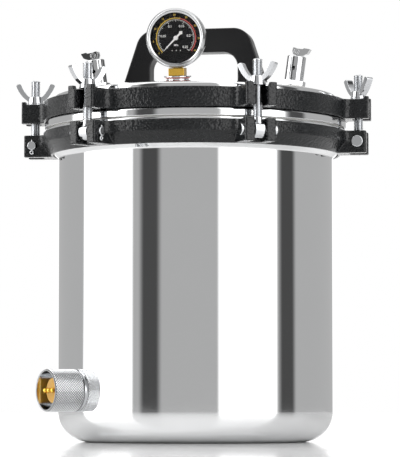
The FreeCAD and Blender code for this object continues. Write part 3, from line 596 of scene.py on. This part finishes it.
def wing_nut(number, spin):
    base_z = BOX["clamp_washer_%d" % number][1].z
    x, y, _ = JOINTS["nut_spin_%d" % number]["pos_m"]
    hub = turned_mesh(rounded([(5.06, 0, 0.3), (8.2, 0, 0.6), (8.1, 1.4, 0.6), (6.8, 8.0, 0.9),
                               (5.06, 8.0, 0.4)],
                              closed=True, steps=5), 64)
    verts, faces = merged([wing_mesh(1), wing_mesh(-1)])
    place = Matrix.Translation((x, y, base_z * MM)) @ spin_z(lug_angle(number) + spin)
    nut = new_object("wings_%d" % number, verts, faces, place, smooth_angle=30)
    bevel(nut, 0.9, 3, 50)
    core = new_object("core_%d" % number, *hub, place)
    joined = join([nut, core], "butterfly_nut_%d" % number)
    stands_for(joined, "nut_%d" % number, "zinc_plate", MAT["zinc"], "wing_nut_%d" % number)


def join(objects, name):
    """Several mesh objects as one, with each one's own sharp edges kept."""
    shape = bmesh.new()
    for obj in objects:
        obj.data.transform(obj.matrix_world)
        shape.from_mesh(obj.data)
    mesh = bpy.data.meshes.new(name)
    shape.to_mesh(mesh)
    shape.free()
    for obj in objects:
        bpy.data.objects.remove(obj)
    obj = bpy.data.objects.new(name, mesh)
    bpy.context.scene.collection.objects.link(obj)
    return obj


def hinge_pin_pieces():
    pins, clips = [], []
    for number in range(1, LUG_COUNT + 1):
        spot = Vector(JOINTS["bolt_swing_%d" % number]["pos_m"])
        place = Matrix.Translation(spot) @ spin_z(lug_angle(number)) @ Matrix.Rotation(math.radians(90),
                                                                                       4, "Y")
        half, head = 16.4, 2.3
        profile = rounded([(0, -half - head, 0), (6.0, -half - head, 0.8), (6.0, -half, 0.2),
                           (4.5, -half, 0.2),
                           (4.5, half + 3.7, 0.7), (0, half + 3.7, 0)], steps=4)
        pins.append(turned("pin", profile, place, 48, closed=False))
        tube_r, loop_r = 0.75, 1.6
        ring = [(loop_r + tube_r * math.cos(2 * math.pi * k / 12), tube_r * math.sin(2 * math.pi * k / 12))
                for k in range(12)]
        loop = turned_mesh(ring, 32)
        legs = turned_mesh(rounded([(0, -5.4, 0), (tube_r, -5.4, 0.3), (tube_r, 6.0, 0.3), (0, 6.0, 0)]),
                           16, False)
        local = Matrix.Translation(spot) @ spin_z(lug_angle(number)) @ shift(half + 1.85, 0, 0)
        across = Matrix.Translation((0, 0, -4.5 - 0.85 - loop_r)) @ Matrix.Rotation(math.radians(90), 4, "Y")
        verts, faces = merged([moved(loop, across), legs])
        clips.append(new_object("clip", verts, faces, local))
    stands_for(join(pins, "clevis_pins"), "vessel", "zinc_plate", MAT["zinc"], "hinge_pins")
    stands_for(join(clips, "cotter_clips"), "vessel", "zinc_plate", MAT["satin"], "split_pins")


def fasteners():
    spins = {1: 131.5, 2: 41.5, 3: 35.0, 4: 80.0, 5: 98.5, 6: 73.0}
    for number in range(1, LUG_COUNT + 1):
        eye_bolt(number)
        flat_washer(number)
        wing_nut(number, spins[number])
    hinge_pin_pieces()


# =====================================================================
# carry handle
# =====================================================================
def handle_piece():
    low, high = BOX["carry_handle"]
    turn = -3.0
    foot, top, gap = 77.5, 56.0, 46.4
    top_z = high.z
    foot_z = 361.0
    lean_foot = foot + (363.4 - foot_z) * (foot - top) / (top_z - 363.4)
    corners = [
        (lean_foot, foot_z, 0), (top, top_z, 20.0), (-top, top_z, 20.0), (-lean_foot, foot_z, 0),
        (-gap, foot_z, 0), (-gap, 402.9, 16.0), (gap, 402.9, 16.0), (gap, foot_z, 0),
    ]
    outline = rounded(corners, closed=True, steps=12)
    verts, faces = slab_mesh(outline, -10.5, 10.5)
    verts = [(x, -z, y) for x, y, z in verts]
    bow = new_object("handle_bow", verts, faces, spin_z(turn), smooth_angle=20)
    bevel(bow, 1.6, 4, 40)
    ball = turned("ball", [(r, dome_z(r) + 0.02) for r in range(0, 100, 4)] + [(96, 340), (0, 340)],
                  segments=192,
                  closed=False)
    carve(bow, ball)
    smooth(bow, 35)
    stands_for(bow, "lid", "phenolic_black", MAT["handle"], "carry_handle")


# =====================================================================
# pressure gauge, drawn facing +Z with +Y up
# =====================================================================
GAUGE_HUB = 6.6


def gauge_frame():
    return node_frame("gauge_needle", -1.0)


def band(inner, outer, start, end, low, high, steps=48):
    """A flat arc between two radii; angles run clockwise from the top."""
    ring = []
    for radius, order in ((outer, range(steps + 1)), (inner, range(steps, -1, -1))):
        for k in order:
            a = math.radians(start + (end - start) * k / steps)
            ring.append((radius * math.sin(a), radius * math.cos(a)))
    return slab_mesh(ring, low, high)


def tick(radius, length, width, angle, low, high):
    half = width / 2
    bar = slab_mesh([(-half, radius - length), (half, radius - length), (half, radius), (-half, radius)],
                    low, high)
    return moved(bar, Matrix.Rotation(math.radians(-angle), 4, "Z"))


def figure(text, size, x, y, z, material, place, name):
    """Raised figures from the built-in typeface."""
    curve = bpy.data.curves.new(name, "FONT")
    curve.body = text
    curve.size = size * MM
    curve.align_x = "CENTER"
    curve.align_y = "CENTER"
    curve.extrude = 0.03 * MM
    curve.offset = 0.06 * MM
    curve.resolution_u = 2
    source = bpy.data.objects.new(name + "_text", curve)
    bpy.context.scene.collection.objects.link(source)
    bpy.context.view_layer.update()
    mesh = bpy.data.meshes.new_from_object(source.evaluated_get(bpy.context.evaluated_depsgraph_get()))
    bpy.data.objects.remove(source)
    mesh.transform(place @ shift(x, y, z))
    mesh.materials.clear()
    mesh.materials.append(material)
    obj = bpy.data.objects.new(name, mesh)
    bpy.context.scene.collection.objects.link(obj)
    return obj


def on_circle(radius, angle):
    a = math.radians(angle)
    return radius * math.sin(a), radius * math.cos(a)


def gauge_print(place):
    low, high = 4.19, 4.26
    sets = {"white": [], "yellow": [], "red": []}
    figures = {"white": [], "yellow": []}
    for k in range(51):
        angle = -135 + 270 * k / 50
        major = k % 10 == 0
        half = k % 5 == 0
        length = 2.6 if major else (1.9 if half else 1.1)
        sets["white"].append(tick(18.2, length, 0.42 if half else 0.24, angle, low, high))
    sets["white"].append(band(18.2, 18.5, -135, 135, low, high))
    sets["yellow"].append(band(19.4, 20.3, -135, 13, low, high))
    sets["red"].append(band(19.4, 20.3, 13, 130, low, high))
    for k in range(19):
        angle = -135 + 265 * k / 18
        sets["yellow" if angle < 13 else "red"].append(tick(21.3, 1.4, 0.34, angle, low, high))
    labels = (("0", -135), ("0.05", -81), ("0.1", -27), ("0.15", 27), ("0.2", 81), ("0.25", 135))
    for label, angle in labels:
        x, y = on_circle(13.0, angle)
        figures["white"].append(figure(label, 3.3, x, y, high, MAT["white"], place, "figure"))
    for label, angle in (("0", -131), ("5", -98), ("10", -66), ("15", -34), ("20", -3), ("25", 28),
                         ("30", 59),
                         ("35", 92), ("40", 124)):
        x, y = on_circle(23.1, angle)
        figures["yellow"].append(figure(label, 2.6, x, y, high, MAT["yellow"], place, "figure"))
    for x in (-4.2, 0.0, 4.2):
        dot = turned_mesh([(0, low), (0.45, low), (0.45, high), (0, high)], 12, False)
        sets["white"].append(moved(dot, Matrix.Translation((x, -12.5, 0))))
    unit = figure("MPa", 2.6, 0.0, -7.2, high, MAT["white"], place, "figure")
    figures["white"].append(unit)
    for key, parts in sets.items():
        marks = new_object("marks", *merged(parts), place, smooth_angle=30)
        marks.data.materials.append(MAT[key])
        whole = join([marks] + figures.get(key, []), "dial_marks_" + key)
        whole.data.materials.clear()
        whole.data.materials.append(MAT[key])
        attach(whole, "lid")


def gauge_pieces():
    place = gauge_frame()
    case = turned("gauge_can", rounded([(0, -12.0, 0), (28.8, -12.0, 3.2), (28.8, 7.2, 0.3), (27.6, 7.2, 0.3),
                                        (27.6, -10.8, 2.4), (0, -10.8, 0)], steps=6), place, 128,
                                        closed=False)
    stands_for(case, "lid", "polished_steel", MAT["lid"], "gauge_case")
    ring = turned("gauge_ring", rounded([(28.8, -0.6, 0.2), (30.0, -0.6, 0.5), (30.0, 7.8, 2.2),
                                         (27.6, 10.5, 1.2),
                                         (25.4, 9.4, 0.5), (25.2, 8.7, 0.1), (27.0, 8.7, 0.1),
                                         (27.0, 7.2, 0.1),
                                         (28.8, 7.2, 0.1)], closed=True, steps=6), place, 160)
    stands_for(ring, "lid", "polished_steel", MAT["bezel"], "gauge_bezel")
    glass = turned("gauge_window", rounded([(0, 7.25, 0), (26.9, 7.25, 0.2), (26.9, 8.65, 0.2),
                                            (0, 8.65, 0)]),
                   place, 96, closed=False)
    stands_for(glass, "lid", "clear_glass", MAT["glass"], "gauge_glass")
    plate = turned("gauge_plate", rounded([(1.3, 3.4, 0), (26.9, 3.4, 0.2), (26.9, 4.2, 0.3),
                                           (1.3, 4.2, 0.1)],
                                          closed=True), place, 96)
    stands_for(plate, "lid", "dial_black", MAT["dial"], "gauge_dial")
    gauge_print(place)
    blade = slab_mesh([(0, 16.0), (-0.35, 15.0), (-0.95, 2.0), (-0.95, -2.0), (-0.9, -5.5), (-2.1, -7.4),
                       (0, -9.6), (2.1, -7.4), (0.9, -5.5), (0.95, -2.0), (0.95, 2.0), (0.35, 15.0)], 5.4,
                       5.9)
    hub = turned_mesh(rounded([(0, 5.0, 0), (2.3, 5.0, 0.2), (2.3, 6.4, 0.5), (0, GAUGE_HUB, 0)]), 40, False)
    spindle = turned_mesh([(0, -1.0), (1.0, -1.0), (1.0, 5.2), (0, 5.2)], 24, False)
    aim = place @ Matrix.Rotation(math.radians(135.0), 4, "Z")
    needle = new_object("needle", *merged([blade, hub, spindle]), aim, smooth_angle=40)
    bevel(needle, 0.12, 2, 50)
    stands_for(needle, "pointer", "pointer_white", MAT["white"], "gauge_pointer")


def gauge_stem_pieces():
    place = gauge_frame() @ Matrix.Rotation(math.radians(-90), 4, "X")
    foot = -41.5
    stem = new_object("square", *slab_mesh([(-8, -8), (8, -8), (8, 8), (-8, 8)], foot + 3.6, -30.05), place)
    neck = new_object("riser", *slab_mesh([(-4.5, 0.8), (4.5, 0.8), (4.5, 7.0), (-4.5, 7.0)], foot + 9,
                                          -21.0),
                      place)
    bevel(stem, 0.7, 3)
    bevel(neck, 0.6, 3)
    screw = new_object("screw", *rows_mesh(thread_rows(5.0, foot - 12.0, foot + 4.0)), place, smooth_angle=50)
    whole = join([stem, neck, screw], "brass_stem")
    stands_for(whole, "lid", "brass", MAT["brass"], "gauge_stem")
    stacks = (("steel_discs", ((11.0, -1.0, 1.2), (13.7, 2.4, 3.6)), "zinc_plate", "zinc", "gauge_washers"),
              ("red_disc", ((12.2, 1.2, 2.4),), "silicone_red", "seal_red", "gauge_seal"))
    for name, rings, slot_name, material, node in stacks:
        parts = [turned_mesh(rounded([(5.0, foot + a, 0), (r, foot + a, 0.25), (r, foot + b, 0.4),
                                      (5.0, foot + b, 0)],
                                     closed=True), 80) for r, a, b in rings]
        disc = new_object(name, *merged(parts), place)
        stands_for(disc, "lid", slot_name, MAT[material], node)


# =====================================================================
# valves
# =====================================================================
def valve_frame(name):
    """On the dome under the valve: Z up its axis, X along its lever's pin."""
    pivot = Vector(JOINTS[name + "_lever_flip"]["pos_m"])
    up = Vector(JOINTS[name + "_stem_lift"]["axis"])
    pin = -Vector(JOINTS[name + "_lever_flip"]["axis"])
    return frame_from(pivot - up * 35.4 * MM, up, pin)


def hex_mesh(flats, low, high):
    corner = flats / math.sqrt(3)
    ring = [(corner * math.cos(math.radians(60 * k)),
             corner * math.sin(math.radians(60 * k))) for k in range(6)]
    return slab_mesh(ring, low, high)


def valve_pieces(name):
    place = valve_frame(name)
    base = new_object("hex", *hex_mesh(22.2, 1.2, 6.2), place)
    bevel(base, 0.6, 3)
    barrel = turned("barrel", rounded([(2.6, 5.0, 0), (9.6, 5.0, 0), (9.6, 31.3, 1.3), (2.6, 31.3, 0.5)],
                                      closed=True, steps=6), place, 96)
    ports = [rod("port", 2.1, -20, 20, place @ shift(0, 0, 18.6) @ Matrix.Rotation(math.radians(90), 4, "Y")),
             turned("well", [(2.0, 8.0), (6.0, 8.0), (6.0, 22.0), (2.0, 22.0)], place, 48)]
    carve(barrel, *ports)
    smooth(barrel, 35)
    foot = turned("foot", rounded([(3.0, 1.3, 0), (5.5, -13.0, 0.4), (5.5, 1.3, 0)], closed=True), place, 48)
    whole = join([base, barrel, foot], name + "_barrel")
    stands_for(whole, "lid", "polished_steel", MAT["chrome"], name + "_valve_body")

    stem = turned_mesh(rounded([(0, 10, 0), (2.45, 10, 0.2), (2.45, 28.8, 0.3), (1.8, 28.8, 0.1),
                                (1.8, 33.0, 0), (0, 33.0, 0)]), 40, False)
    tongue = slab_mesh([(-1.8, -2.5), (1.8, -2.5), (1.8, 2.5), (-1.8, 2.5)], 32.4, 38.4)
    head = turned_mesh([(0, 8.1), (5.6, 8.1), (5.6, 11.0), (0, 11.0)], 48, False)
    rivet = turned_mesh(rounded([(0, -5.0, 0), (1.3, -5.0, 0), (1.5, -5.6, 0.2), (2.9, -5.6, 0.3),
                                 (2.9, -5.0, 0.1),
                                 (1.9, -4.8, 0), (1.9, 4.8, 0), (2.9, 5.0, 0.1), (2.9, 5.6, 0.3),
                                 (1.5, 5.6, 0.2),
                                 (1.3, 5.0, 0), (0, 5.0, 0)]), 48, False)
    rivet = moved(rivet, Matrix.Translation((0, 0, 35.4)) @ Matrix.Rotation(math.radians(90), 4, "Y"))
    rod_piece = new_object(name + "_spindle", *merged([stem, tongue, head, rivet]), place)
    stands_for(rod_piece, name + "_stem", "zinc_plate", MAT["chrome"], name + "_valve_stem")

    corners = [(-4.6, 0.6, 0.6), (-3.2, -3.0, 1.6), (0.8, -3.7, 1.6), (6.0, -3.6, 2.0), (11.0, -1.2, 3.0),
               (13.6, 4.2, 0.5), (7.4, 4.6, 0.5), (6.0, 3.5, 0.5), (0.6, 3.5, 0.6), (-4.0, 4.6, 0.8)]
    side = rounded(corners, closed=True, steps=4)
    verts, faces = slab_mesh(side, -4.8, 4.8)
    verts = [(z, -x, 35.4 + y) for x, y, z in verts]
    lever = new_object(name + "_flip_lever", verts, faces, place, smooth_angle=30)
    bore = rod("bore", 2.05, -9, 9, place @ shift(0, 0, 35.4) @ Matrix.Rotation(math.radians(90), 4, "Y"))
    slot = new_object("slot", *slab_mesh([(-2.0, -4.7), (2.0, -4.7), (2.0, 20), (-2.0, 20)], 20, 50), place)
    carve(lever, bore, slot)
    bevel(lever, 0.35, 2, 40)
    stands_for(lever, name + "_lever", "zinc_plate", MAT["chrome"], name + "_valve_lever")


def valve_seal_piece():
    parts = []
    for name in ("relief", "vent"):
        ring = turned_mesh(rounded([(5.6, -0.9, 0), (11.8, -0.9, 0), (11.8, 1.2, 0.5), (5.6, 1.2, 0)],
                                   closed=True), 64)
        parts.append(moved(ring, Matrix.Scale(1 / MM, 4) @ valve_frame(name) @ Matrix.Scale(MM, 4)))
    seals = new_object("valve_pads", *merged(parts))
    stands_for(seals, "lid", "silicone_white", MAT["seal_white"], "valve_seals")


# =====================================================================
# power inlet, along its own axis with distances from the pot's axis
# =====================================================================
def inlet_frame():
    place = node_frame("collar_spin")
    place.translation = Vector((0, 0, JOINTS["collar_spin"]["pos_m"][2]))
    return place


def knurl_height(around, along):
    """Pyramids between two sets of slanting grooves."""
    a = abs((around + along) % 1.0 - 0.5) * 2
    b = abs((around - along) % 1.0 - 0.5) * 2
    return 1.0 - max(a, b)


def inlet_pieces():
    place = inlet_frame()
    low, high, outer, bore = 142.6, 176.0, 21.5, 19.25
    pitch, teeth, per_tooth = 2.7, 50, 8
    columns = teeth * per_tooth
    inside = [(outer - 0.9, high - 0.05), (outer - 1.4, high), (bore + 0.2, high), (bore, high - 0.3),
              (bore, low + 0.3),
              (bore + 0.2, low), (outer - 1.2, low), (outer - 0.55, low + 0.25), (outer - 0.45, low + 0.6)]
    rows = [circle_row(r, z, columns) for r, z in inside[4:]]
    count = int((high - low - 1.9) / pitch * per_tooth)
    for i in range(count + 1):
        z = low + 0.9 + pitch * i / per_tooth
        edge = min(1.0, (z - low - 0.9) / 0.5, (high - 1.0 - z) / 0.5)
        row = []
        for k in range(columns):
            lift = knurl_height(k / per_tooth, i / per_tooth) * 0.9 * max(0.0, edge)
            r = outer - 0.8 + min(lift, 0.72) + 0.08
            a = 2 * math.pi * k / columns
            row.append((r * math.cos(a), r * math.sin(a), z))
        rows.append(row)
    rows += [circle_row(r, z, columns) for r, z in [(outer - 0.5, high - 0.6)] + inside[:4]]
    verts, faces = rows_mesh(rows, False, False)
    n = len(rows[0])
    last = (len(rows) - 1) * n
    faces += [[last + k, last + (k + 1) % n, (k + 1) % n, k] for k in range(n)]
    sleeve = new_object("knurled_sleeve", verts, faces, place, smooth_angle=8)
    stands_for(sleeve, "inlet_collar", "zinc_plate", MAT["bright"], "knurled_collar", even=False)

    core = turned("glazed_core", rounded([(0, 122.0, 0), (12.75, 122.0, 0.5), (12.75, 168.5, 1.0),
                                          (0, 168.5, 0)],
                                         steps=6), place, 80, closed=False)
    holes = [rod("hole", 2.55, 110, 180, place @ shift(k * 7.6, 0, 0), 32) for k in (-1, 0, 1)]
    carve(core, *holes)
    smooth(core, 35)
    stands_for(core, "vessel", "ceramic_amber", MAT["amber"], "inlet_insulator")
    pins = []
    for k in (-1, 0, 1):
        prong = turned_mesh(rounded([(0, 118.0, 0), (2.45, 118.0, 0.3), (2.45, 174.5, 2.2),
                                     (0, 174.5, 0)], steps=6),
                            40, False)
        pins.append(moved(prong, Matrix.Translation((k * 7.6, 0, 0))))
    prongs = new_object("contact_prongs", *merged(pins), place)
    stands_for(prongs, "vessel", "brass", MAT["gold"], "inlet_contacts")


# =====================================================================
# parts kept from the frame
# =====================================================================
KEPT = {
    "steel": ["heater_element", "steam_rack", "inner_bucket", "vent_guide", "bucket_handle", "vent_tube"],
    "zinc": ["inlet_lock_nut", "handle_screws", "handle_washers", "gauge_nut", "valve_nuts", "inlet_housing"],
    "brass": ["bourdon_tube"],
    "seal_white": ["lid_gasket"],
    "seal_red": ["inlet_seal"],
}


def dress_kept_nodes():
    for key, names in KEPT.items():
        for name in names:
            mesh = NODES[name].data
            mesh.materials.clear()
            mesh.materials.append(MAT[key])


# =====================================================================
# studio and camera
# =====================================================================
VIEW_AZIMUTH = 9.0
ROOM = 0.5
CEILING = 1.4
# centre and half width in degrees to the right of the view, then brightness
SOFT_BOXES = [(-80, 25, 4.0), (45, 25, 3.0)]
FLAGS = [(-38, 8, 0.08), (82, 8, 0.08)]
BACKDROP = (180, 12, 1.3)
EDGE = 3.0
CAMERA_SPOT = Vector((0.4325, -2.7310, 0.042))
CAMERA_LENS = 210.33
CAMERA_YAW = -0.0956
CAMERA_PITCH = 3.695


def studio_world():
    """A plain studio: an even room, two soft boxes, two black flags, a white backdrop and a bright ceiling."""
    world = bpy.data.worlds.new("studio")
    bpy.context.scene.world = world
    world.use_nodes = True
    tree = world.node_tree
    tree.nodes.clear()

    def add(kind, **settings):
        made = tree.nodes.new(kind)
        for key, value in settings.items():
            setattr(made, key, value)
        return made

    def math_node(operation, *values):
        made = add("ShaderNodeMath", operation=operation)
        for socket, value in zip(made.inputs, values):
            if isinstance(value, bpy.types.NodeSocket):
                tree.links.new(value, socket)
            else:
                socket.default_value = value
        return made.outputs[0]

    def fade(value, low, high):
        made = add("ShaderNodeMapRange", interpolation_type="SMOOTHSTEP")
        tree.links.new(value, made.inputs["Value"])
        made.inputs["From Min"].default_value = low
        made.inputs["From Max"].default_value = high
        return made.outputs["Result"]

    def blend(share, first, second):
        """First where share is 0, second where it is 1."""
        step = math_node("SUBTRACT", second, first)
        return math_node("MULTIPLY_ADD", step, share, first)

    coords = add("ShaderNodeTexCoord")
    split = add("ShaderNodeSeparateXYZ")
    tree.links.new(coords.outputs["Generated"], split.inputs[0])
    south = math_node("MULTIPLY", split.outputs["Y"], -1.0)
    azimuth = math_node("ARCTAN2", split.outputs["X"], south)
    light = ROOM
    for centre, half_width, value in SOFT_BOXES + FLAGS + [BACKDROP]:
        off = math_node("SUBTRACT", azimuth, math.radians(VIEW_AZIMUTH + centre))
        away = math_node("ABSOLUTE", math_node("WRAP", off, math.pi, -math.pi))
        outside = fade(away, math.radians(half_width - EDGE), math.radians(half_width + EDGE))
        light = blend(outside, value, light)
    light = blend(fade(split.outputs["Z"], 0.74, 0.88), light, CEILING)
    path = add("ShaderNodeLightPath")
    light = blend(path.outputs["Is Camera Ray"], light, 1.0)
    back = add("ShaderNodeBackground")
    tree.links.new(light, back.inputs["Color"])
    out = add("ShaderNodeOutputWorld")
    tree.links.new(back.outputs["Background"], out.inputs["Surface"])


def studio_floor():
    made = Maker("floor_white", (0.80, 0.80, 0.80), roughness=0.08, Specular_IOR_Level=0.5)
    made.link(made.ramp(made.noise(6.0), 0.3, 0.7, 0.07, 0.10), "Roughness")
    floor = new_object("studio_floor", *slab_mesh([(-6000, -6000), (6000, -6000), (6000, 6000),
                                                   (-6000, 6000)], -10, 0))
    floor.data.materials.append(made.material)


def camera():
    data = bpy.data.cameras.new("camera")
    data.sensor_fit = "AUTO"
    data.sensor_width = 36.0
    data.lens = CAMERA_LENS
    data.clip_start = 0.05
    data.clip_end = 60.0
    obj = bpy.data.objects.new("camera", data)
    bpy.context.scene.collection.objects.link(obj)
    level = Vector((-CAMERA_SPOT.x, -CAMERA_SPOT.y, 0)).normalized()
    yaw = Matrix.Rotation(math.radians(CAMERA_YAW), 3, "Z")
    aim = yaw @ level
    aim.z = math.tan(math.radians(CAMERA_PITCH))
    obj.location = CAMERA_SPOT
    obj.rotation_euler = aim.to_track_quat("-Z", "Y").to_euler()
    bpy.context.scene.camera = obj


camera()
studio_world()
studio_floor()
pot_piece()
lid_piece()
clamp_rings()
fasteners()
handle_piece()
gauge_pieces()
gauge_stem_pieces()
valve_pieces("relief")
valve_pieces("vent")
valve_seal_piece()
inlet_pieces()
dress_kept_nodes()

bpy.context.scene.view_settings.view_transform = "Standard"
bpy.context.scene.view_settings.look = "None"
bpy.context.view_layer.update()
